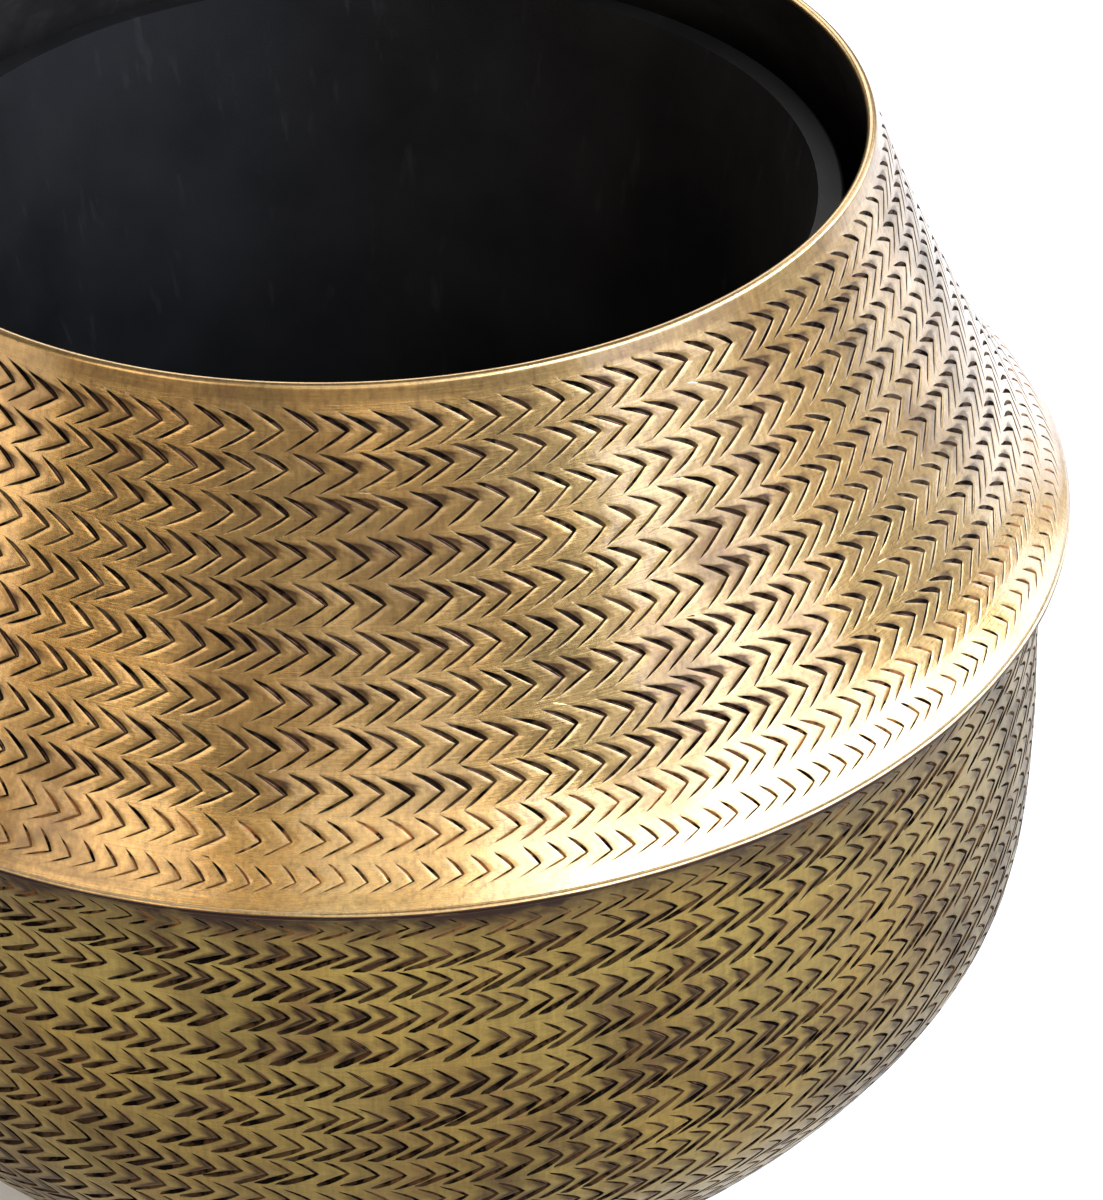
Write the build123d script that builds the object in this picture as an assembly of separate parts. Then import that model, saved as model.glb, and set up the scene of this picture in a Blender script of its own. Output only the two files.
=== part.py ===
from build123d import *
import math
import os

# Brass planter pot: a bell-shaped upper collar seated on a round-bottomed lower
# bowl, brazed together on a sharp shoulder, with a wired rim and a lift-out liner.
# Millimetres, +Z up, origin on the axis at the surface the pot stands on.

# ---- driving dimensions ----
height = 420.0            # overall, from the surface it stands on to the top of the rim
shoulder_r = 250.0        # outside radius at the shoulder, the widest place
shoulder_z = 276.7        # height of the shoulder's sharp top edge
collar_t = 1.0            # sheet thickness of the collar
bowl_t = 1.2              # sheet thickness of the bowl
rim_wire_r = 0.80         # bore of the rolled rim
wire_clear = 0.02         # clearance of the wire in the roll
rim_lean = 19.0           # lean of the wall where it runs into the rolled rim, degrees
rim_roll_end = 300.0      # where the roll ends, degrees round the wire
seat_drop = 0.6           # the collar's cut edge sits this far below the shoulder edge
pad_t = 2.5               # thickness of the pads under the base
pad_r = 11.0
pad_pitch_r = 72.0        # radius of the circle the pads are on
pad_count = 4
base_r = 88.0             # radius of the flat part of the base
liner_floor_r = 86.0      # outside radius of the liner at its foot
liner_wall = 2.2
liner_floor_t = 3.0
liner_top_z = 392.0       # top of the liner's lip
liner_top_r = 159.0       # outside radius of the liner's wall under the lip
liner_lip_r = 166.0       # outside radius of the lip
liner_lip_skirt = 9.0     # height of the lip's turned-down skirt

rim_r = rim_wire_r + collar_t              # outside radius of the rolled rim
rim_cr = 174.0                             # radius of the wire's ring
rim_cz = height - rim_r                    # height of the wire's ring
join_z = shoulder_z - seat_drop            # top of the bowl's flange


def vec(r, z):
    return Vector(r, 0, z)


def offset_points(points, dist):
    """Points moved by dist to the left of their direction of travel."""
    out = []
    n = len(points)
    for i in range(n):
        a = points[max(i - 1, 0)]
        b = points[min(i + 1, n - 1)]
        if 0 < i < n - 1:
            # tangent of the circle through three points
            p0, p1, p2 = points[i - 1], points[i], points[i + 1]
            l1 = math.hypot(p1[0] - p0[0], p1[1] - p0[1])
            l2 = math.hypot(p2[0] - p1[0], p2[1] - p1[1])
            t1 = ((p1[0] - p0[0]) / l1, (p1[1] - p0[1]) / l1)
            t2 = ((p2[0] - p1[0]) / l2, (p2[1] - p1[1]) / l2)
            tx = (t1[0] * l2 + t2[0] * l1)
            tz = (t1[1] * l2 + t2[1] * l1)
        else:
            tx, tz = b[0] - a[0], b[1] - a[1]
        m = math.hypot(tx, tz)
        out.append((points[i][0] - tz / m * dist, points[i][1] + tx / m * dist))
    return out


def ring(edges):
    """Solid of revolution of a closed profile drawn in the XZ plane."""
    face = Face(Wire(edges))
    return revolve(face, axis=Axis.Z, revolution_arc=360)


# ---- collar: bell-shaped sheet, outside profile from the shoulder up ----
lean = math.radians(rim_lean)
outer_start = math.radians(rim_lean)
tan_out = (rim_cr + rim_r * math.cos(lean), rim_cz + rim_r * math.sin(lean))
collar_profile = [
    (0.0, shoulder_r), (6.0, 244.0), (12.5, 238.4), (18.8, 233.6), (25.0, 229.4),
    (37.5, 222.2), (50.0, 215.5), (62.5, 209.2), (75.0, 203.3), (87.5, 197.8),
    (100.0, 192.5), (112.5, 187.5), (125.0, 182.8), (133.0, 179.9),
]
collar_out = [(r, shoulder_z + h) for h, r in collar_profile] + [tan_out]
collar_in = offset_points(collar_out, collar_t)
tan_in = (rim_cr + rim_wire_r * math.cos(lean), rim_cz + rim_wire_r * math.sin(lean))
collar_in[-1] = tan_in
# the lower edge is cut flat, so that it sits on the bowl's flange
d0 = (collar_in[0][0] - collar_in[1][0], collar_in[0][1] - collar_in[1][1])
k = (collar_in[0][1] - join_z) / -d0[1]
foot_in = (collar_in[0][0] + d0[0] * k, join_z)
collar_in[0] = foot_in


def roll(radius, a0, a1):
    mid = 0.5 * (a0 + a1)
    p = [(rim_cr + radius * math.cos(a), rim_cz + radius * math.sin(a)) for a in (a0, mid, a1)]
    return ThreePointArc(vec(*p[0]), vec(*p[1]), vec(*p[2]))


roll_end = math.radians(rim_roll_end)
end_out = (rim_cr + rim_r * math.cos(roll_end), rim_cz + rim_r * math.sin(roll_end))
end_in = (rim_cr + rim_wire_r * math.cos(roll_end), rim_cz + rim_wire_r * math.sin(roll_end))
wall_dir = (-math.sin(lean), math.cos(lean))
first_dir = (collar_out[1][0] - collar_out[0][0], collar_out[1][1] - collar_out[0][1])
collar_shell = ring([
    Spline(*[vec(*p) for p in collar_out],
           tangents=[vec(*first_dir), vec(*wall_dir)], tangent_scalars=[1, 1]),
    roll(rim_r, lean, roll_end),
    Line(vec(*end_out), vec(*end_in)),
    roll(rim_wire_r, roll_end, lean),
    Spline(*[vec(*p) for p in reversed(collar_in)],
           tangents=[vec(-wall_dir[0], -wall_dir[1]), vec(-first_dir[0], -first_dir[1])],
           tangent_scalars=[1, 1]),
    Line(vec(*foot_in), vec(shoulder_r, join_z)),
    Line(vec(shoulder_r, join_z), vec(shoulder_r, shoulder_z)),
])

# ---- rim wire, closed ring inside the rolled rim ----
rim_wire = revolve(
    Plane.XZ * Pos(rim_cr, rim_cz) * Circle(rim_wire_r - wire_clear),
    axis=Axis.Z, revolution_arc=360)

# ---- bowl: outside profile from the flange's edge down to the flat base ----
base_z = pad_t
flange_low = join_z - bowl_t
bowl_profile = [
    (-15.0, 242.7), (-25.0, 241.9), (-40.0, 241.6), (-56.0, 241.9), (-75.0, 242.7),
    (-90.0, 243.2), (-106.0, 243.4), (-119.0, 243.2), (-131.0, 242.3), (-140.0, 240.9),
    (-150.0, 238.3), (-162.5, 232.9), (-175.0, 225.9), (-187.5, 217.6), (-200.0, 208.0),
    (-212.5, 197.0), (-225.0, 184.0), (-237.5, 168.3), (-248.0, 151.8), (-257.0, 134.5),
    (-264.0, 118.5), (-269.6, 103.5),
]
neck = [(shoulder_r - 3.0, flange_low - 0.15), (245.6, flange_low - 1.2),
        (244.3, flange_low - 3.2), (243.5, flange_low - 7.0)]
bowl_out = neck + [(r, shoulder_z + h) for h, r in bowl_profile] + [(base_r, base_z)]
bowl_in = offset_points(bowl_out, -bowl_t)
bowl_in[0] = (neck[0][0] - 0.1, join_z)
bowl_in[-1] = (base_r, base_z + bowl_t)
# travel is downwards, so the inside lies to the right of the direction of travel
n_dir = (-1.0, -0.12)
b_dir = (-1.0, 0.0)
bowl_shell = ring([
    Line(vec(*bowl_in[0]), vec(shoulder_r, join_z)),
    Line(vec(shoulder_r, join_z), vec(shoulder_r, flange_low)),
    Line(vec(shoulder_r, flange_low), vec(*bowl_out[0])),
    Spline(*[vec(*p) for p in bowl_out], tangents=[vec(*n_dir), vec(*b_dir)],
           tangent_scalars=[1, 1]),
    Line(vec(*bowl_out[-1]), vec(0, base_z)),
    Line(vec(0, base_z), vec(0, base_z + bowl_t)),
    Line(vec(0, base_z + bowl_t), vec(*bowl_in[-1])),
    Spline(*[vec(*p) for p in reversed(bowl_in)], tangents=[vec(1.0, 0.0), vec(1.0, 0.02)],
           tangent_scalars=[1, 1]),
])

# ---- fillet of brazing alloy in the corner inside the shoulder ----
braze_clear = 0.03        # clearance to the collar's wall
braze_rise = 2.4          # how far the fillet climbs the collar's wall
braze_low = 247.0         # radius where the fillet ends on the bowl's flange
braze_out = vec(foot_in[0] - braze_clear, join_z)
slope_r = first_dir[0] / first_dir[1]
braze_top = vec(braze_out.X + slope_r * braze_rise - 0.06, join_z + braze_rise)
braze_end = vec(braze_low, join_z)
braze_mid = vec(0.5 * (braze_top.X + braze_end.X) + 0.3, join_z + 0.5 * braze_rise)
shoulder_braze = ring([
    Line(braze_out, braze_top),
    ThreePointArc(braze_top, braze_mid, braze_end),
    Line(braze_end, braze_out),
])

# ---- liner: tapered bucket with a turned-down lip, standing on the bowl's floor ----
lz0 = base_z + bowl_t
slope = (liner_top_r - liner_floor_r) / (liner_top_z - lz0)
foot_round = 10.0


def wall_r(z):
    return liner_floor_r + slope * (z - lz0)


fz = lz0 + foot_round
lip_t = liner_wall
liner_out = [
    Line(vec(0, lz0), vec(wall_r(lz0) - foot_round, lz0)),
    Spline(vec(wall_r(lz0) - foot_round, lz0), vec(wall_r(fz), fz),
           tangents=[vec(1, 0), vec(slope, 1)], tangent_scalars=[1, 1]),
    Line(vec(wall_r(fz), fz), vec(wall_r(liner_top_z - lip_t), liner_top_z - lip_t)),
    Line(vec(wall_r(liner_top_z - lip_t), liner_top_z - lip_t),
         vec(liner_lip_r - lip_t, liner_top_z - lip_t)),
    Line(vec(liner_lip_r - lip_t, liner_top_z - lip_t),
         vec(liner_lip_r - lip_t, liner_top_z - liner_lip_skirt)),
    Line(vec(liner_lip_r - lip_t, liner_top_z - liner_lip_skirt),
         vec(liner_lip_r, liner_top_z - liner_lip_skirt)),
    Line(vec(liner_lip_r, liner_top_z - liner_lip_skirt), vec(liner_lip_r, liner_top_z - 1.5)),
    ThreePointArc(vec(liner_lip_r, liner_top_z - 1.5),
                  vec(liner_lip_r - 1.5 + 1.5 * math.cos(math.pi / 4),
                      liner_top_z - 1.5 + 1.5 * math.sin(math.pi / 4)),
                  vec(liner_lip_r - 1.5, liner_top_z)),
    Line(vec(liner_lip_r - 1.5, liner_top_z), vec(wall_r(liner_top_z) - liner_wall, liner_top_z)),
    Line(vec(wall_r(liner_top_z) - liner_wall, liner_top_z),
         vec(wall_r(fz) - liner_wall, fz)),
    Spline(vec(wall_r(fz) - liner_wall, fz),
           vec(wall_r(lz0) - foot_round, lz0 + liner_floor_t),
           tangents=[vec(-slope, -1), vec(-1, 0)], tangent_scalars=[1, 1]),
    Line(vec(wall_r(lz0) - foot_round, lz0 + liner_floor_t), vec(0, lz0 + liner_floor_t)),
    Line(vec(0, lz0 + liner_floor_t), vec(0, lz0)),
]
liner = ring(liner_out)

# ---- pads under the base ----
pads = []
for i in range(pad_count):
    a = math.radians(45.0 + 360.0 / pad_count * i)
    pad = Pos(pad_pitch_r * math.cos(a), pad_pitch_r * math.sin(a), pad_t / 2) * Cylinder(pad_r, pad_t)
    pads.append(pad)
foot_pads = Compound(children=[Part(p.wrapped) if not isinstance(p, Part) else p for p in pads])

nodes = {
    "collar_shell": collar_shell,
    "rim_wire": rim_wire,
    "bowl_shell": bowl_shell,
    "shoulder_braze": shoulder_braze,
    "liner": liner,
    "foot_pads": foot_pads,
}

os.makedirs("parts", exist_ok=True)
for name, shape in nodes.items():
    export_step(shape, "parts/" + name + ".step")
    box = shape.bounding_box()
    print(name, "volume", round(shape.volume, 1), "z", round(box.min.Z, 2), round(box.max.Z, 2),
          "x", round(box.min.X, 2), round(box.max.X, 2))
print("roll end to wall gap about",
      round((tan_in[0] + (tan_in[1] - end_out[1]) * math.tan(lean)) - end_out[0], 2))
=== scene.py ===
import math

import bpy
import numpy as np
from mathutils import Matrix, Vector


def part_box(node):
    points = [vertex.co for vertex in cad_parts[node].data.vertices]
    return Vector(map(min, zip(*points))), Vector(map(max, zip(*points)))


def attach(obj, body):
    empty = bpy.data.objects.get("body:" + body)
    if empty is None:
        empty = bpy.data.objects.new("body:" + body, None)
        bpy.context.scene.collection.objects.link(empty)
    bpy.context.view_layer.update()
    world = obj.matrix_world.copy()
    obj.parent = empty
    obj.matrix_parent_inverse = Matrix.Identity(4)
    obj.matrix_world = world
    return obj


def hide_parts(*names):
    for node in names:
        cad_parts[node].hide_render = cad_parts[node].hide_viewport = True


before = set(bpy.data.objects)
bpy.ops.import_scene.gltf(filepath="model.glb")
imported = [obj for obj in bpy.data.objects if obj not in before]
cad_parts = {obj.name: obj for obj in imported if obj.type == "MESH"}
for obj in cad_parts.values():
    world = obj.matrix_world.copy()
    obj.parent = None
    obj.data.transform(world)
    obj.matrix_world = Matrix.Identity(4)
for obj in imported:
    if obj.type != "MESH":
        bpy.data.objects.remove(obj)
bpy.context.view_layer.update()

# ---------------------------------------------------------------- sizes, in mm
lo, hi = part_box("collar_shell")
RIM_TOP = hi.z * 1000.0
SHOULDER_R = 250.0
SHOULDER_Z = 276.7
JOIN_Z = lo.z * 1000.0                         # the collar's cut edge on the bowl's flange
FLANGE_T = 1.2
FLANGE_LOW = JOIN_Z - FLANGE_T
BASE_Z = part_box("bowl_shell")[0].z * 1000.0
ROLL_R = 1.8                                   # outside radius of the rolled rim
ROLL_C = (174.0, RIM_TOP - ROLL_R)
LEAN = math.radians(19.0)

COLLAR = [(133.0, 179.1), (125.0, 182.2), (112.5, 187.1), (100.0, 192.3), (87.5, 197.7),
          (75.0, 203.3), (62.5, 209.2), (50.0, 215.5), (37.5, 222.2), (25.0, 229.4),
          (18.8, 233.6), (12.5, 238.4), (6.0, 244.0), (0.0, SHOULDER_R)]
BOWL = [(-15.0, 242.7), (-25.0, 241.9), (-40.0, 241.6), (-56.0, 241.9), (-75.0, 242.7),
        (-90.0, 243.2), (-106.0, 243.4), (-119.0, 243.2), (-131.0, 242.3), (-140.0, 240.9),
        (-150.0, 238.3), (-162.5, 232.9), (-175.0, 225.9), (-187.5, 217.6), (-200.0, 208.0),
        (-212.5, 197.0), (-225.0, 184.0), (-237.5, 168.3), (-248.0, 151.8), (-257.0, 134.5),
        (-264.0, 118.5), (-269.6, 103.5)]
TAU = 2.0 * math.pi


class Profile:
    """A smooth curve through (r, z) points, by its length t from the first point, with its outward normal."""

    def __init__(self, points, side=1.0, n=4000):
        p = np.array(points, float)
        d = np.sqrt(np.linalg.norm(np.diff(p, axis=0), axis=1))     # centripetal
        u = np.concatenate([[0.0], np.cumsum(d)])
        m = np.zeros_like(p)
        for i in range(1, len(p) - 1):
            h0, h1 = u[i] - u[i - 1], u[i + 1] - u[i]
            s0, s1 = (p[i] - p[i - 1]) / h0, (p[i + 1] - p[i]) / h1
            m[i] = (s0 * h1 + s1 * h0) / (h0 + h1)
        m[0] = 2 * (p[1] - p[0]) / (u[1] - u[0]) - m[1]
        m[-1] = 2 * (p[-1] - p[-2]) / (u[-1] - u[-2]) - m[-2]
        x = np.linspace(0.0, u[-1], n)
        i = np.clip(np.searchsorted(u, x, side="right") - 1, 0, len(u) - 2)
        h = (u[i + 1] - u[i])[:, None]
        s = ((x - u[i]) / (u[i + 1] - u[i]))[:, None]
        q = ((2 * s ** 3 - 3 * s ** 2 + 1) * p[i] + (s ** 3 - 2 * s ** 2 + s) * h * m[i]
             + (-2 * s ** 3 + 3 * s ** 2) * p[i + 1] + (s ** 3 - s ** 2) * h * m[i + 1])
        self.t = np.concatenate([[0.0], np.cumsum(np.linalg.norm(np.diff(q, axis=0), axis=1))])
        self.q = q
        g = np.gradient(q, self.t, axis=0)
        g /= np.linalg.norm(g, axis=1)[:, None]
        self.nrm = np.stack([-g[:, 1], g[:, 0]], 1) * side
        self.length = float(self.t[-1])

    def at(self, t):
        return np.interp(t, self.t, self.q[:, 0]), np.interp(t, self.t, self.q[:, 1])

    def normal(self, t):
        a, b = np.interp(t, self.t, self.nrm[:, 0]), np.interp(t, self.t, self.nrm[:, 1])
        n = np.hypot(a, b)
        return a / n, b / n

    def t_at_z(self, z):
        return float(np.interp(-z, -self.q[:, 1], self.t))


def edge_wobble(th):
    """How far out the hand-filed shoulder edge stands, in mm, round the pot."""
    return (0.20 * np.sin(2 * th + 0.4) + 0.12 * np.sin(5 * th + 2.0) + 0.07 * np.sin(11 * th + 0.9)
            + 0.05 * np.sin(23 * th + 1.3) + 0.03 * np.sin(57 * th))


def beaten(th, t, k):
    """Slow unevenness of hand-worked sheet, in mm."""
    return (0.20 * np.sin(3 * th + 1.1 + 0.012 * t + k) + 0.16 * np.sin(7 * th - 0.031 * t + 2.0 + 2 * k)
            + 0.12 * np.sin(13 * th + 0.052 * t + 3 * k) + 0.09 * np.sin(5 * th + 0.083 * t + 0.7)
            + 0.06 * np.sin(29 * th + 0.11 * t + k) + 0.05 * np.sin(41 * th - 0.19 * t))


class Shell:
    """Collects the vertices and faces of one sheet. Positions are given by angle, profile length and height."""

    MARKS = ("groove", "halo", "worn", "vein", "copper")

    def __init__(self):
        self.co, self.th, self.tt = [], [], []
        self.marks = {k: [] for k in self.MARKS}
        self.faces = {}                       # number of corners -> list of (index array, zone)
        self.n = 0

    def verts(self, r, z, th, tt, **marks):
        given = [marks.get(k, 0.0) for k in self.MARKS]
        r, z, th, tt, *given = [np.ravel(a) for a in np.broadcast_arrays(r, z, th, tt, *given)]
        self.co.append(np.stack([r * np.sin(th), -r * np.cos(th), z], 1))
        self.th.append(np.asarray(th, float))
        self.tt.append(np.asarray(tt, float))
        for k, a in zip(self.MARKS, given):
            self.marks[k].append(np.asarray(a, float))
        first = self.n
        self.n += len(r)
        return first

    def add(self, idx, zone):
        idx = np.asarray(idx, np.int64)
        if len(idx):
            self.faces.setdefault(idx.shape[1], []).append((idx, zone))

    def grid(self, first, rows, cols, zone, flip=False):
        """Quads over a closed band of rows x cols vertices, the columns going round."""
        a = first + np.arange(rows - 1)[:, None] * cols + np.arange(cols)[None, :]
        b = first + np.arange(rows - 1)[:, None] * cols + (np.arange(cols)[None, :] + 1) % cols
        q = np.stack([a, a + cols, b + cols, b], -1).reshape(-1, 4)
        self.add(q[:, ::-1] if flip else q, zone)

    def zip(self, up, th_up, down, th_down, zone, flip=False):
        """Triangles between two closed loops of different counts; up is the one nearer the profile's start."""
        th_up, th_down = np.asarray(th_up, float), np.asarray(th_down, float)
        base = th_up[0]
        rel = (th_down - base) % TAU
        k = int(np.argmin(rel))
        down = np.roll(down, -k)
        rel = np.roll(rel, -k)
        a = np.concatenate([th_up - base, [TAU]])
        b = np.concatenate([rel, [rel[0] + TAU]])
        nu, nd = len(up), len(down)
        i = j = 0
        out = []
        while i < nu or j < nd:
            if j >= nd or (i < nu and a[i + 1] <= b[j + 1]):
                out.append((up[i % nu], down[j % nd], up[(i + 1) % nu]))
                i += 1
            else:
                out.append((up[i % nu], down[j % nd], down[(j + 1) % nd]))
                j += 1
        out = np.array(out)
        self.add(out[:, ::-1] if flip else out, zone)

    def mesh(self, name, uv_rows, materials):
        """uv_rows: zone -> (strips, v0, v1, t0, t1). materials: zone -> slot index."""
        co = np.concatenate(self.co) / 1000.0
        me = bpy.data.meshes.new(name)
        counts, loops, zones = [], [], []
        for k, parts in sorted(self.faces.items()):
            for idx, zone in parts:
                counts.append(np.full(len(idx), k))
                loops.append(idx.ravel())
                zones.append(np.full(len(idx), zone))
        counts, loops, zones = np.concatenate(counts), np.concatenate(loops), np.concatenate(zones)
        me.vertices.add(len(co))
        me.vertices.foreach_set("co", co.astype(np.float32).ravel())
        me.loops.add(len(loops))
        me.loops.foreach_set("vertex_index", loops.astype(np.int32))
        me.polygons.add(len(counts))
        starts = np.concatenate([[0], np.cumsum(counts)[:-1]])
        me.polygons.foreach_set("loop_start", starts.astype(np.int32))
        me.polygons.foreach_set("material_index", np.array([materials[z] for z in range(max(materials) + 1)])[zones].astype(np.int32))
        me.polygons.foreach_set("use_smooth", np.ones(len(counts), bool))
        for attr in self.MARKS:
            a = me.attributes.new(attr, "FLOAT", "POINT")
            a.data.foreach_set("value", np.concatenate(self.marks[attr]).astype(np.float32))
        # the texture map: the wall is cut into strips, so that a texel is about as wide as high
        th, tt = np.concatenate(self.th)[loops], np.concatenate(self.tt)[loops]
        owner = np.repeat(np.arange(len(counts)), counts)
        ref = th[starts][owner]
        rel = (th - ref + math.pi) % TAU - math.pi
        mid = (np.add.reduceat(rel, starts) / counts)[owner]
        centre = (ref + mid) % TAU
        full = centre + (rel - mid)
        uv = np.zeros((len(loops), 2))
        zl = zones[owner]
        for zone, (strips, v0, v1, t0, t1) in uv_rows.items():
            m = zl == zone
            s = np.floor(centre[m] / TAU * strips)
            pad_u, step = 0.006, (v1 - v0) / strips
            pad_v = min(0.004, step * 0.1)
            uv[m, 0] = pad_u + (full[m] * strips / TAU - s) * (1 - 2 * pad_u)
            uv[m, 1] = v0 + s * step + pad_v + np.clip((tt[m] - t0) / (t1 - t0), 0, 1) * (step - 2 * pad_v)
        layer = me.uv_layers.new(name="OFBake")
        layer.data.foreach_set("uv", uv.astype(np.float32).ravel())
        me.update(calc_edges=True)
        me.validate(verbose=False)
        ob = bpy.data.objects.new(name, me)
        bpy.context.scene.collection.objects.link(ob)
        return ob


# ---------------------------------------------------------------- the chiselled rows
TAUS = {7: [0.0, 0.09, 0.22, 0.38, 0.55, 0.72, 0.87, 1.0], 5: [0.0, 0.14, 0.36, 0.60, 0.84, 1.0]}
U = [0.0, 0.12, 0.30, 0.55, 0.80, 0.95, 1.0, 1.12]
WIDTH = {
    "collar_up": [0.62, 0.88, 1.0, 1.0, 0.90, 0.68, 0.46, 0.10],
    "collar_low": [0.55, 0.72, 0.92, 1.0, 0.92, 0.62, 0.36, 0.10],
    "bowl_up": [0.72, 0.92, 1.0, 0.96, 0.84, 0.62, 0.42, 0.10],
    "bowl_low": [0.42, 0.58, 0.82, 1.02, 1.16, 1.14, 0.85, 0.15],
}
DEEP = {
    "collar_up": [0.90, 1.0, 1.0, 0.92, 0.74, 0.50, 0.25, 0.0],
    "collar_low": [0.80, 0.84, 0.94, 1.0, 0.86, 0.55, 0.25, 0.0],
    "bowl_up": [0.90, 1.0, 0.96, 0.86, 0.70, 0.48, 0.25, 0.0],
    "bowl_low": [0.75, 0.80, 0.92, 1.05, 1.15, 1.10, 0.75, 0.0],
}


def smoke(th, t, k):
    """Where soot gathered: a slow field from 0 to 1, shared by neighbouring rows."""
    v = (np.sin(9 * th + 0.030 * t + k) + 0.9 * np.sin(14 * th - 0.055 * t + 2.1 + 2 * k)
         + 0.8 * np.sin(23 * th + 0.075 * t + 0.6 + 3 * k) + 0.7 * np.sin(5 * th - 0.041 * t + 4.0)
         + 0.6 * np.sin(37 * th - 0.10 * t + 1.7 * k))
    return np.clip(0.5 + v * 0.24, 0, 1)


def smooth_random(rng, n, waves, amp):
    """A periodic random curve sampled at n places."""
    x = np.arange(n) / n * TAU
    out = np.zeros(n)
    for w in waves:
        out += np.sin(w * x + rng.uniform(0, TAU)) * rng.uniform(0.5, 1.0)
    return out * amp / math.sqrt(len(waves))


# broad darker patches, uneven round the pot: angle from the front, spread, first and last profile length, strength
DARK_PATCHES = {"collar": ((84.0, 28.0, -30.0, 122.0, 0.42), (-150.0, 30.0, 20.0, 140.0, 0.22)),
        "bowl": ((72.0, 24.0, -10.0, 420.0, 0.42), (-6.0, 18.0, 84.0, 420.0, 0.16), (175.0, 34.0, 30.0, 420.0, 0.26),
                 (-110.0, 30.0, 60.0, 420.0, 0.24))}


def dark_patches(kind, th, t):
    out = 0.0
    for az, wide, t0, t1, k in DARK_PATCHES[kind]:
        d = (np.degrees(th) - az + 180.0) % 360.0 - 180.0
        out = out + k * np.exp(-(d / wide) ** 2) * np.clip((t - t0) / 30.0, 0, 1) * np.clip((t1 - t) / 30.0, 0, 1)
    return out


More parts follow.
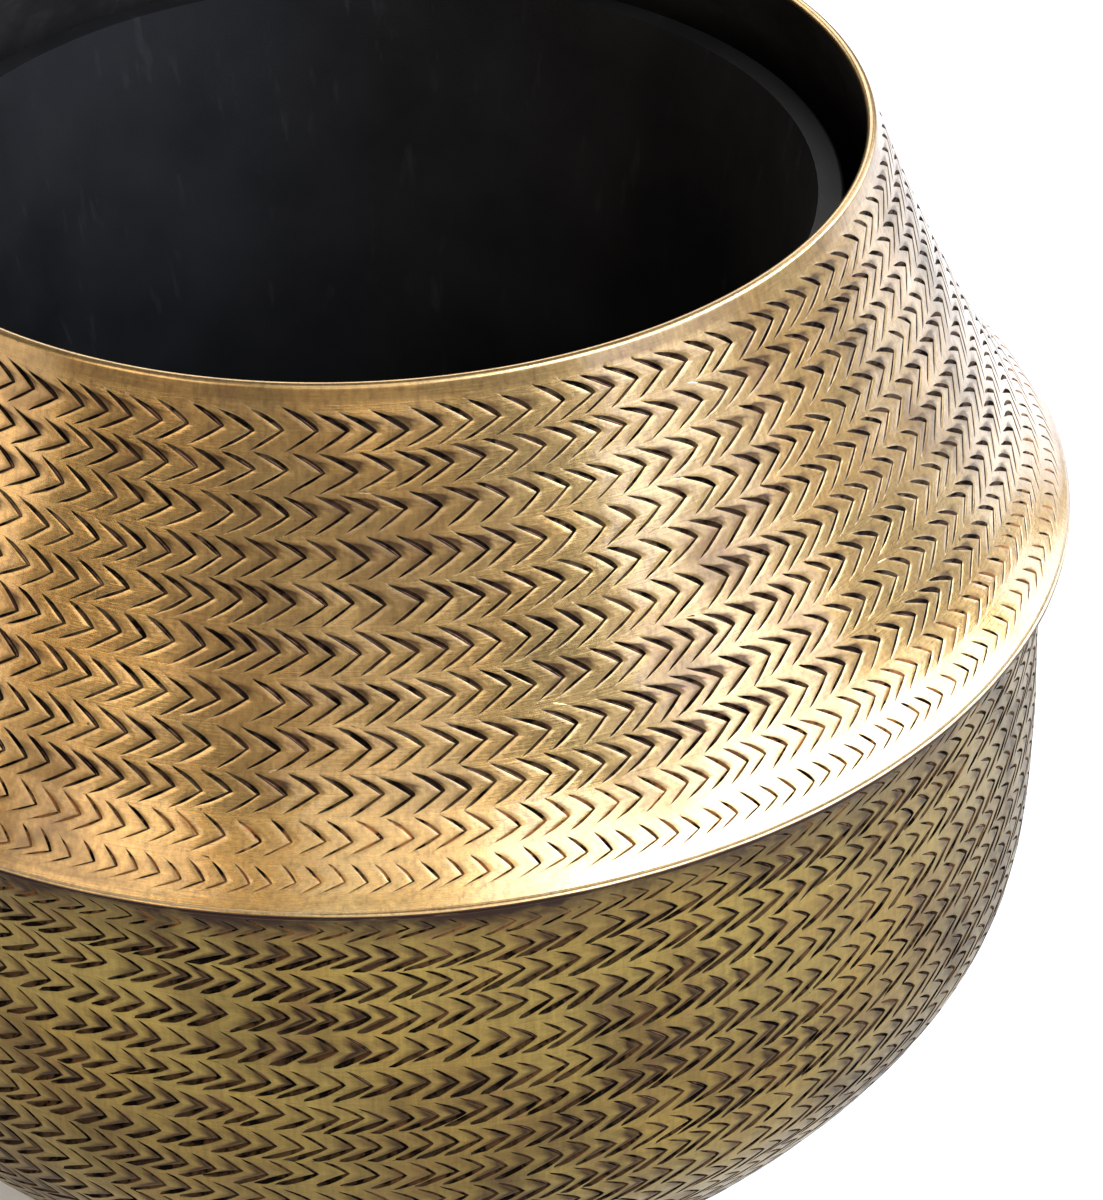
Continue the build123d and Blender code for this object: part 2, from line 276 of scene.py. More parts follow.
def chisel_row(shell, prof, rng, row, wave, top, bottom, kind, kk, zone, shift, painted_shade=None):
    """One row of marks. row holds its sizes in mm; wave, top and bottom give the row's line and its band's two
    edges by angle. Returns the vertex loops at the band's upper and lower edge with their angles."""
    t0 = row["t"]
    r0, _ = prof.at(t0)
    r0 = float(r0)
    n = max(12, int(round(TAU * r0 / row["pitch"])))
    step = rng.normal(1.0, 0.085, n).clip(0.78, 1.30)
    wide = rng.random(n)
    step[wide < 0.02] += 0.35
    step[wide > 0.985] -= 0.12
    step *= 1.0 + smooth_random(rng, n, (3, 7, 12), 0.05)
    step *= TAU / step.sum()
    th = np.cumsum(step) + rng.uniform(0, TAU)
    tip = t0 + wave(th) + rng.normal(0, row.get("scatter", 0.32), n).clip(-0.9, 0.9)
    lean = smooth_random(rng, n, (2, 5, 9), 0.06)
    dyu = row["dyu"] * (1 + rng.normal(0, 0.06, n) + 0.5 * lean)
    dxu = row["dxu"] * (1 + rng.normal(0, 0.055, n) - lean)
    dyl = row["dyl"] * (1 + rng.normal(0, 0.07, n) - 0.5 * lean)
    dxl = row["dxl"] * (1 + rng.normal(0, 0.06, n) + lean)
    bend_u = (0.68 + rng.normal(0, 0.05, n)).clip(0.5, 0.85)
    bend_l = (0.92 + rng.normal(0, 0.05, n)).clip(0.8, 1.05)
    force_u = (1 + rng.normal(0, 0.10, n) + smooth_random(rng, n, (2, 5, 11), 0.10)).clip(0.6, 1.3)
    force_l = (1 + rng.normal(0, 0.12, n) + smooth_random(rng, n, (3, 6, 13), 0.10)).clip(0.5, 1.3)
    weak = rng.random(n)
    force_l[weak < row.get("weak", 0.03)] *= 0.45
    force_u[weak > 1 - row.get("weak", 0.03) * 0.6] *= 0.5
    skew = rng.normal(0, 0.10, n)
    soot = 0.42 + 1.25 * smoke(th, t0, shift) ** 1.5 + rng.normal(0, 0.18, n)
    soot[rng.random(n) < 0.04] += 0.5
    soot = soot.clip(0.10, 1.45)
    glow = (row.get("copper", 0.0) * rng.uniform(0.2, 1.3, n)).clip(0, 1)
    thread = (row.get("vein", 0.6) * rng.uniform(0.1, 1.3, n)).clip(0, 1)

    def centre(x, q):
        """Passes on how far left of the tip the arm is, and its slope there, as given."""
        return x, q

    def arm(up, t_to):
        """Groove line of the arm from the tip to length position t_to: its shift, slope and share of the arm."""
        dy, dx, a = (dyu, dxu, bend_u) if up else (dyl, dxl, bend_l)
        s = np.abs(t_to - tip) / dy
        x = np.where(s <= 1, a * s + (1 - a) * s * s, 1 + (2 - a) * (s - 1))
        q = dx / dy * (a + 2 * (1 - a) * np.minimum(s, 1.2))
        return -dx * x, q, s

    taus = TAUS[kk]
    ends = {}
    for up in (True, False):
        edge = top if up else bottom
        t_edge = edge(th)
        for _ in range(4):
            x, _, _ = arm(up, t_edge)
            t_edge = edge(th + x / r0)
        room = np.abs(t_edge - tip) - row.get("clear", 0.35) - np.abs(rng.normal(0, row.get("loose", 0.2), n))
        if up:
            dyu = np.minimum(dyu, room)
        else:
            dyl = np.minimum(dyl, room)
        t_edge = edge(th)
        for _ in range(4):
            x, _, _ = arm(up, t_edge)
            t_edge = edge(th + x / r0)
        ends[up] = t_edge

    lines = []                                       # from the band's upper edge to its lower edge
    for up, order in ((True, range(kk, 0, -1)), (None, [0]), (False, range(1, kk + 1))):
        for k in order:
            tau = taus[k]
            if up is None:
                tc = tip.copy()
                _, qa, _ = arm(True, tc)
                _, qb, _ = arm(False, tc)
                q = 0.5 * (qa + qb)
                x = np.zeros(n)
                s = np.zeros(n)
            else:
                tc = tip + (ends[up] - tip) * tau
                x, q, s = arm(up, tc)
            key_u, key_l = kind + "_up", kind + "_low"
            if up is None:
                wi = 0.5 * (np.interp(0, U, WIDTH[key_u]) * row["wu"][0] + np.interp(0, U, WIDTH[key_l]) * row["wl"][0])
                wo = 0.5 * (np.interp(0, U, WIDTH[key_u]) * row["wu"][1] + np.interp(0, U, WIDTH[key_l]) * row["wl"][1])
                wi = wi * (0.5 + 0.25 * (force_u + force_l))
                wo = wo * (0.5 + 0.25 * (force_u + force_l))
                dep = 0.5 * (row["du"] * force_u * DEEP[key_u][0] + row["dl"] * force_l * DEEP[key_l][0])
            else:
                key, w, d, f = (key_u, row["wu"], row["du"], force_u) if up else (key_l, row["wl"], row["dl"], force_l)
                g = np.interp(s, U, WIDTH[key]) * (0.5 + 0.5 * f)
                wi, wo = g * w[0] * (1 - skew), g * w[1] * (1 + skew)
                dep = np.interp(s, U, DEEP[key]) * d * f
            body = np.clip(1.15 - s ** 3, 0, 1)                 # how much there is of the mark here
            lines.append(dict(tc=tc, x=x, q=q, s=s, wi=wi, wo=wo, dep=dep, body=body, tau=tau,
                              up=(up is not False), edge=(tau == 1.0)))
    first = None
    loops = []
    for ln in lines:
        f = np.sqrt(1 + ln["q"] ** 2)
        gap = (np.roll(th + ln["x"] / r0, -1) - (th + ln["x"] / r0)) % TAU * r0
        room = gap / f                                        # clear distance between two neighbouring grooves
        scale = np.minimum(1.0, 0.82 * np.minimum(room, np.roll(room, 1)) / (ln["wi"] + ln["wo"] + 0.6))
        wi, wo = ln["wi"] * scale, ln["wo"] * scale
        lip = row.get("lipw", 0.20) * scale * (0.35 + 0.65 * ln["body"])
        bot = np.minimum(0.11, 0.3 * np.minimum(wi, wo))
        off = [-(wi + lip), -wi, -bot, bot, wo, wo + lip]
        sth = [th + (ln["x"] + o * f) / r0 for o in off]
        nxt = np.roll(sth[0], -1).copy()
        nxt[-1] += TAU
        for share in (0.34, 0.68):
            sth.append(sth[5] + (nxt - sth[5]) * share)
        t_next = np.roll(ln["tc"], -1)
        tcol = [ln["tc"]] * 6 + [ln["tc"] + (t_next - ln["tc"]) * (0.12 + 0.76 * s_) for s_ in (0.34, 0.68)]
        sth, tcol = np.stack(sth, 1), np.stack(tcol, 1)
        edge = top if ln["up"] else bottom
        if ln["tau"] > 0:
            # every column reaches the band's edge, wherever that is there
            want = edge(sth)
            have_a = ends[ln["up"]]
            have = np.stack([have_a] * 6 + [have_a + (np.roll(have_a, -1) - have_a) * (0.12 + 0.76 * s_) for s_ in (0.34, 0.68)], 1)
            tcol[:, 6:] += (want - have)[:, 6:] * ln["tau"] ** 2
            tcol[:, :6] += (want - have)[:, :6] * ln["tau"] ** 4
        if ln["edge"]:
            tcol = edge(sth)
        b, d = ln["body"], ln["dep"]
        b_next = np.roll(b, -1)
        near = np.exp(-(ln["s"] / 0.70) ** 2)                  # strongest round the tip
        sh = row.get("shingle", 0.06)
        lip_i, lip_o = row.get("lips", (0.02, 0.03))
        h = np.stack([
            (lip_i - sh * 0.45) * b, -0.06 * d - sh * 0.40 * b, -d, -d, -0.06 * d + sh * 0.5 * b,
            (lip_o * (0.35 + 0.65 * near) + sh * 0.7) * b, sh * 0.42 * b, -sh * 0.08 * b_next], 1)
        h = h * (1 - ln["tau"] ** 3)
        gm = np.clip(d / 0.22, 0, 1)
        z = np.zeros(n)
        soft_i, soft_o = row.get("soft_up", (0.60, 0.80)) if ln["up"] else row.get("soft_low", (0.55, 0.62))
        groove = np.stack([z, soft_i * gm, gm, gm, soft_o * gm, (0.16 if ln["up"] else 0.06) * gm, z, z], 1)
        near_next, soot_next = np.roll(near, -1), np.roll(soot, -1)
        if ln["up"]:
            inn, out, far, deep = row.get("up_stain", (0.60, 1.05, 0.38, 0.50))
        else:
            inn, out, far, deep = row.get("low_stain", (0.52, 0.42, 0.10, 0.36))
        spread = 0.35 + 0.65 * near
        side = 0.25 + 0.75 * np.exp(-((ln["s"] - 0.50) / 0.36) ** 2) if ln["up"] else 0.25 + 0.75 * near
        far = far * (np.exp(-((ln["s"] - 0.60) / 0.28) ** 2) if ln["up"] else near) * b * soot
        halo = np.stack([
            inn * spread * b * soot, (0.3 + 0.6 * near) * b * soot, b * soot, b * soot,
            out * side * b * soot, 0.90 * out * side * b * soot,
            far, np.maximum(deep * near_next * b_next * soot_next, 0.25 * far)], 1)
        haze_k, haze_0 = row.get("haze", (0.85, 0.58))
        haze = haze_k * np.clip(smoke(sth, tcol, shift + 0.8) - haze_0, 0, 1)
        halo = np.maximum(halo, haze) + 0.35 * np.minimum(halo, haze)
        # extra darkening laid into the halo mark: broad dark patches round the pot, plus painted shade by profile
        # length where painted_shade is given
        patches_and_painted_shade = dark_patches(kind, sth, tcol)
        if painted_shade is not None:
            patches_and_painted_shade = patches_and_painted_shade + np.interp(tcol, *painted_shade)
        halo = halo + patches_and_painted_shade * np.clip(1 - halo, 0, 1)
        rubbed = (0.25 + 0.75 * near) * b
        worn = np.stack([0.30 * b, 0.05 * b, z, z, 0.05 * rubbed, 0.50 * rubbed, 0.15 * b, z], 1)
        if not ln["up"]:
            thread = thread * row.get("vein_low", 0.8)
        vein = np.stack([z, 0.05 * thread * b, 1.0 * thread * b, z, z, z, z, z], 1)
        cop = np.repeat((glow * b)[:, None], 8, 1)
        r, zz = prof.at(tcol)
        nr, nz = prof.normal(tcol)
        h = h + beaten(sth, tcol, shift) * np.clip((tcol - 2) / 20, 0, 1) * np.clip((prof.length - 4 - tcol) / 14, 0, 1)
        i0 = shell.verts(r + h * nr, zz + h * nz, sth, tcol, groove=groove, halo=halo, worn=worn, vein=vein, copper=cop)
        first = i0 if first is None else first
        loops.append((i0, sth.reshape(-1)))
    shell.grid(first, len(lines), n * 8, zone)
    cols = n * 8
    return ((loops[0][0] + np.arange(cols), loops[0][1]), (loops[-1][0] + np.arange(cols), loops[-1][1]))


def plain_band(shell, prof, ts, cols, zone, shift, flip=False, offs=0.0, fade=True, halo=0.0, worn=0.0, tt=None):
    """A smooth part of the sheet, at the given profile lengths."""
    ts = np.asarray(ts, float)
    th = (np.arange(cols) + 0.5) / cols * TAU
    T, TH = np.meshgrid(ts, th, indexing="ij")
    r, z = prof.at(T)
    nr, nz = prof.normal(T)
    h = beaten(TH, T, shift) * np.clip((T - 2) / 20, 0, 1) * np.clip((prof.length - 4 - T) / 14, 0, 1) if fade else 0.0
    h = h + (np.asarray(offs)[:, None] if np.ndim(offs) else offs)
    i0 = shell.verts(r + h * nr, z + h * nz, TH, T if tt is None else np.broadcast_to(np.asarray(tt, float)[:, None], T.shape),
                     halo=halo, worn=worn)
    shell.grid(i0, len(ts), cols, zone, flip)
    return (i0 + np.arange(cols), th), (i0 + (len(ts) - 1) * cols + np.arange(cols), th)


def turned(shell, pts, cols, zone, tts, wobble=None, halo=0.0, worn=0.0):
    """A band turned round the axis from (r, z) points."""
    th = (np.arange(cols) + 0.5) / cols * TAU
    p = np.asarray(pts, float)
    R = np.repeat(p[:, 0:1], cols, 1)
    if wobble is not None:
        R = R + np.asarray(wobble, float)[:, None] * edge_wobble(th)[None, :]
    Z = np.repeat(p[:, 1:2], cols, 1)
    TT = np.repeat(np.asarray(tts, float)[:, None], cols, 1)
    TH = np.repeat(th[None, :], len(p), 0)
    hh = np.repeat(np.asarray(halo, float).reshape(-1, 1), cols, 1) if np.ndim(halo) else halo
    ww = np.repeat(np.asarray(worn, float).reshape(-1, 1), cols, 1) if np.ndim(worn) else worn
    i0 = shell.verts(R, Z, TH, TT, halo=hh, worn=ww)
    shell.grid(i0, len(p), cols, zone)
    return (i0 + np.arange(cols), th), (i0 + (len(p) - 1) * cols + np.arange(cols), th)


def make_rows(shell, prof, rng, rows, kind, zone, shift, top_line, bottom_line, zig, wavy=1.0, painted_shade=None):
    """All the rows of a sheet, zipped to each other. Returns the first and the last loop."""
    ph = rng.uniform(0, TAU, 4)

    def wave_of(j):
        def wave(th):
            return wavy * (0.55 * np.sin(2 * th + ph[0] + 0.21 * j) + 0.45 * np.sin(5 * th + ph[1] + 0.75 * j)
                           + 0.40 * np.sin(9 * th + ph[2] + 1.5 * j) + 0.26 * np.sin(21 * th + ph[3] + 2.6 * j))
        return wave

    waves = [wave_of(j) for j in range(len(rows))]
    first = prev = None
    counts = [max(12, int(round(TAU * float(prof.at(r["t"])[0]) / r["pitch"]))) for r in rows]
    edges = []
    for j in range(len(rows) - 1):
        a, b = rows[j], rows[j + 1]
        free = (b["t"] - a["t"]) - a["dyl"] - b["dyu"]
        mid = a["t"] + a["dyl"] + 0.5 * free
        phase = rng.uniform(0, TAU)
        amp = zig * rng.uniform(0.6, 1.0)

        def edge(th, j=j, mid=mid, phase=phase, amp=amp, n=counts[j]):
            z = np.sin(n * th + phase)
            return mid + 0.5 * (waves[j](th) + waves[j + 1](th)) + amp * z * (1 - 0.25 * z * z)
        edges.append(edge)
    for j, row in enumerate(rows):
        if j == 0:
            def top(th):
                return top_line + 0.0 * np.asarray(th)
        else:
            def top(th, e=edges[j - 1]):
                return e(th) + 0.22
        if j == len(rows) - 1:
            def bottom(th):
                return bottom_line + 0.0 * np.asarray(th)
        else:
            def bottom(th, e=edges[j]):
                return e(th) - 0.22
        a, b = chisel_row(shell, prof, rng, row, waves[j], top, bottom, kind, row.get("k", 7), zone, shift, painted_shade)
        if prev is not None:
            shell.zip(prev[0], prev[1], a[0], a[1], zone)
        else:
            first = a
        prev = b
    return first, prev


def R(t, pitch, dyu, dxu, dyl, dxl, wu, wl, du, dl, **more):
    return dict(t=t, pitch=pitch, dyu=dyu, dxu=dxu, dyl=dyl, dxl=dxl, wu=wu, wl=wl, du=du, dl=dl, **more)


def arc(c, radius, a0, a1, n):
    a = np.radians(np.linspace(a0, a1, n))
    return [(c[0] + radius * math.cos(x), c[1] + radius * math.sin(x)) for x in a]


def build_collar():
    sh = Shell()
    rng = np.random.default_rng(4107)
    tangent = (ROLL_C[0] + ROLL_R * math.cos(LEAN), ROLL_C[1] + ROLL_R * math.sin(LEAN))
    pts = [tangent] + [(r, SHOULDER_Z + h) for h, r in COLLAR]
    prof = Profile(pts, side=1.0)
    cu, cl = (0.50, 0.92), (0.38, 0.47)
    rows = []
    spec = [(12.4, 9.45, 5.9, 6.3), (24.9, 9.35, 6.1, 6.1), (38.3, 9.2, 6.3, 6.2), (52.4, 9.0, 6.4, 6.2), (66.2, 8.9, 6.3, 6.3),
            (81.0, 8.8, 6.4, 6.3), (96.2, 8.7, 6.3, 6.2), (111.0, 8.8, 6.3, 6.1), (125.2, 8.9, 6.3, 6.1)]
    for j, (t, pitch, dyu, dyl) in enumerate(spec):
        rows.append(R(t, pitch, dyu, 8.9 + 0.3 * math.sin(j * 1.9), dyl, 9.4 + 0.3 * math.cos(j * 1.3), cu, cl,
                      0.95, 0.78, loose=0.16, clear=0.10, copper=0.06, vein=0.80, soft_up=(0.66, 0.76), soft_low=(0.66, 0.62),
                      up_stain=(0.50, 1.30, 0.85, 0.25), low_stain=(0.50, 0.25, 0.04, 0.25)))
    rows.append(R(139.0, 8.0, 6.3, 6.7, 4.2, 7.9, (0.40, 0.58), (0.30, 0.34), 0.78, 0.62, weak=0.14, shingle=0.04, clear=0.15,
                  copper=0.75, vein=0.15, soft_up=(0.66, 0.70), up_stain=(0.30, 0.50, 0.15, 0.12), low_stain=(0.3, 0.2, 0.0, 0.12)))
    rows.append(R(152.2, 7.5, 5.3, 4.4, 2.7, 6.2, (0.34, 0.50), (0.20, 0.22), 0.62, 0.36, weak=0.10, shingle=0.04, clear=0.15,
                  copper=0.65, vein=0.15, soft_up=(0.66, 0.70), up_stain=(0.30, 0.45, 0.12, 0.08), low_stain=(0.3, 0.2, 0.0, 0.08)))
    cols = 960
    first, last = make_rows(sh, prof, rng, rows, "collar", 0, 0.0, 5.0, 157.6, 0.40, 0.85)
    # plain band under the rim
    a, b = plain_band(sh, prof, [0.0, 0.5, 1.2, 2.2, 3.4], cols, 0, 0.0, worn=0.0, halo=0.42)
    sh.zip(b[0], b[1], first[0], first[1], 0)
    # the rolled rim, over the top and down inside
    over = arc(ROLL_C, ROLL_R, 300.0, math.degrees(LEAN), 22)
    tts = np.linspace(-8.0, 0.0, len(over))
    ra, rb = turned(sh, over[:-1], cols, 0, tts[:-1], worn=np.interp(np.linspace(0, 1, len(over) - 1), [0, .45, .7, 1], [0, .35, .4, .1]), halo=0.12)
    sh.add(np.stack([rb[0], a[0], np.roll(a[0], -1), np.roll(rb[0], -1)], 1), 0)
    # plain band above the shoulder, the filed edge and the cut foot
    T = prof.length
    c, d = plain_band(sh, prof, [158.6, 159.8, 161.0, T - 0.9, T - 0.45, T - 0.22], cols, 0, 0.0, fade=False, worn=0.10)
    sh.zip(last[0], last[1], c[0], c[1], 0)
    e = [(SHOULDER_R - 0.03, SHOULDER_Z - 0.04), (SHOULDER_R, SHOULDER_Z - 0.20), (SHOULDER_R, SHOULDER_Z - 0.34), (SHOULDER_R, JOIN_Z + 0.10),
         (SHOULDER_R - 0.06, JOIN_Z + 0.02), (SHOULDER_R - 0.4, JOIN_Z), (SHOULDER_R - 1.9, JOIN_Z)]
    ea, eb = turned(sh, e, cols, 0, [T + 0.2 * i for i in range(len(e))], wobble=[1, 1, 1, 1, 1, 1, 0.3], worn=[0.10, 0, 0, 0, 0, 0, 0], halo=[0.2, 0.9, 1.5, 1.6, 1.6, 1.6, 1.6])
    sh.add(np.stack([d[0], ea[0], np.roll(ea[0], -1), np.roll(d[0], -1)], 1), 0)
    # black inside: from the foot up to the roll's free edge
    ti = np.concatenate([[T - 1.6, T - 5.0], np.linspace(T - 12, 14, 34), [8.0, 5.0, 3.2]])
    thick = np.interp(ti, [2.0, 9.0, T - 4.0, T - 1.0], [1.05, 1.9, 1.9, 1.4])
    ia, ib = plain_band(sh, prof, ti, cols, 1, 0.0, offs=-thick, tt=ti)
    sh.add(np.stack([eb[0], ia[0], np.roll(ia[0], -1), np.roll(eb[0], -1)], 1), 1)
    roll_in = [(ROLL_C[0] + 1.10 * math.cos(math.radians(x)), ROLL_C[1] + 1.10 * math.sin(math.radians(x))) for x in (330.0, 312.0)]
    roll_in.append((over[0][0] - 0.10, over[0][1] + 0.18))
    ja, jb = turned(sh, roll_in, cols, 1, [1.5, 1.0, 0.5])
    sh.add(np.stack([ib[0], ja[0], np.roll(ja[0], -1), np.roll(ib[0], -1)], 1), 1)
    sh.add(np.stack([jb[0], ra[0], np.roll(ra[0], -1), np.roll(jb[0], -1)], 1), 0)
    # the shoulder's own unevenness runs a little way up the sheet
    # the collar mesh, with its outside and inside each given a part of the texture map
    ob = sh.mesh("collar_chased", {0: (3, 0.0, 0.93, -8.5, T + 1.6), 1: (1, 0.935, 1.0, 0.0, T)}, {0: 0, 1: 1})
    return ob, prof


def build_bowl():
    sh = Shell()
    rng = np.random.default_rng(9113)
    neck = [(SHOULDER_R - 0.25, FLANGE_LOW + 0.0), (SHOULDER_R - 3.0, FLANGE_LOW - 0.15), (245.6, FLANGE_LOW - 1.2),
            (244.3, FLANGE_LOW - 3.2), (243.5, FLANGE_LOW - 7.0)]
    pts = neck + [(r, SHOULDER_Z + h) for h, r in BOWL] + [(88.0, BASE_Z)]
    prof = Profile(pts, side=1.0, n=8000)
    T = prof.length
    bu, bl = (0.46, 0.62), (1.02, 0.90)
    rows = [R(15.0, 8.8, 3.8, 5.6, 4.3, 8.4, (0.28, 0.36), (0.55, 0.55), 0.30, 0.66, weak=0.22, shingle=0.05, copper=0.38, vein=0.4,
              clear=0.15)]
    ts = [26.0, 38.2, 52.0, 65.6, 79.6, 92.6, 105.4, 118.2, 131.0, 143.8, 156.6, 169.4, 182.2, 195.0, 207.8, 220.6, 233.4, 246.2, 259.0, 271.8, 284.6]
    for j, t in enumerate(ts):
        rows.append(R(t, 8.75 + 0.25 * math.sin(j * 2.3), 5.5, 7.2 + 0.4 * math.sin(j * 1.7), 5.8, 10.7 + 0.5 * math.cos(j * 1.1), bu, bl,
                      0.80, 1.05, side=0.5 + 0.5 * math.sin(j * 1.4), loose=0.12, clear=0.06, shingle=0.08, scatter=0.5,
                      k=7 if t < 200 else 5, copper=0.12, vein=0.85, soft_up=(0.62, 0.76), soft_low=(0.92, 0.84),
                      up_stain=(1.10, 0.45, 0.12, 0.62), low_stain=(1.20, 0.45, 0.12, 0.62), haze=(0.85, 0.55), vein_low=0.35))
    cols = 960
    # painted shade on the bowl by profile length: darkest right under the flange and gone by 34 mm, then darker again
    # towards the foot for the shadowed floor its lower wall mirrors
    first, last = make_rows(sh, prof, rng, rows, "bowl", 0, 1.7, 9.6, 291.6, 0.55, 1.25, painted_shade=([8.5, 12.0, 20.0, 34.0, 60.0, 95.0, 130.0, 200.0, 290.0], [0.95, 0.72, 0.34, 0.03, 0.07, 0.20, 0.28, 0.34, 0.42]))
    # the flange: top face, filed edge, underside and cove
    e = [(SHOULDER_R - 1.9, JOIN_Z), (SHOULDER_R - 0.4, JOIN_Z), (SHOULDER_R - 0.06, JOIN_Z - 0.02), (SHOULDER_R, JOIN_Z - 0.10),
         (SHOULDER_R, JOIN_Z - 0.5), (SHOULDER_R, FLANGE_LOW + 0.30), (SHOULDER_R - 0.03, FLANGE_LOW + 0.12), (SHOULDER_R - 0.14, FLANGE_LOW + 0.02)]
    ea, eb = turned(sh, e, cols, 0, [-3.2, -2.4, -2.0, -1.8, -1.2, -0.6, -0.4, -0.2], wobble=[0.3, 1, 1, 1, 1, 1, 1, 1], halo=[1.6, 1.6, 1.6, 1.4, 0.9, 1.1, 1.5, 1.6])
    # the neck under the flange: its halo is painted shade, darkest right under the flange and lighter by the first row
    c, d = plain_band(sh, prof, [0.25, 0.8, 1.6, 2.4, 3.2, 3.9, 4.7, 5.6, 6.6, 7.8, 8.7], cols, 0, 1.7, fade=False,
                      halo=np.interp([0.25, 0.8, 1.6, 2.4, 3.2, 3.9, 4.7, 5.6, 6.6, 7.8, 8.7], [0, 5.5, 8.7], [0.95, 0.85, 0.45])[:, None])
    sh.add(np.stack([eb[0], c[0], np.roll(c[0], -1), np.roll(eb[0], -1)], 1), 0)
    sh.zip(d[0], d[1], first[0], first[1], 0)
    # plain foot and flat base
    f, g = plain_band(sh, prof, np.concatenate([np.linspace(293.0, T - 6, 12), [T - 3, T - 1.2, T]]), cols, 0, 1.7, halo=0.15)
    sh.zip(last[0], last[1], f[0], f[1], 0)
    radii = [84.0, 78.0, 66.0, 50.0, 34.0, 18.0, 6.0]
    ba, bb = turned(sh, [(x, BASE_Z) for x in radii], cols, 0, [T + (88 - x) for x in radii])
    sh.add(np.stack([g[0], ba[0], np.roll(ba[0], -1), np.roll(g[0], -1)], 1), 0)
    hub = sh.verts([0.0], [BASE_Z], [0.0], [T + 88])
    sh.add(np.stack([bb[0], np.full(cols, hub), np.roll(bb[0], -1)], 1), 0)
    # inside, black: up from the middle of the floor
    th = 1.9
    hub2 = sh.verts([0.0], [BASE_Z + 1.2], [0.0], [T + 88])
    rin = [6.0, 20.0, 40.0, 60.0, 76.0]
    ia, ib = turned(sh, [(x, BASE_Z + 1.2) for x in rin], cols, 1, [T + (88 - x) for x in rin])
    sh.add(np.stack([ia[0], np.full(cols, hub2), np.roll(ia[0], -1)], 1)[:, ::-1], 1)
    ti = np.concatenate([[T - 4, T - 10, T - 18], np.linspace(T - 28, 22, 56), [15.0, 10.0]])
    thick = np.interp(ti, [8.0, 20.0, T - 30, T - 6], [1.3, th, th, 1.2])
    ja, jb = plain_band(sh, prof, ti, cols, 1, 1.7, offs=-thick, tt=ti)
    sh.add(np.stack([ib[0], ja[0], np.roll(ja[0], -1), np.roll(ib[0], -1)], 1), 1)
    nk = [(243.1, FLANGE_LOW - 2.6), (244.7, FLANGE_LOW - 0.2), (246.2, JOIN_Z - 0.25), (247.2, JOIN_Z)]
    ka, kb = turned(sh, nk, cols, 1, [6.0, 4.0, 2.0, 0.0])
    sh.add(np.stack([jb[0], ka[0], np.roll(ka[0], -1), np.roll(jb[0], -1)], 1), 1)
    sh.add(np.stack([kb[0], ea[0], np.roll(ea[0], -1), np.roll(kb[0], -1)], 1), 1)
    ob = sh.mesh("bowl_chased", {0: (2, 0.0, 0.93, -3.5, T + 88), 1: (1, 0.935, 1.0, 0.0, T + 88)}, {0: 0, 1: 1})
    return ob, prof


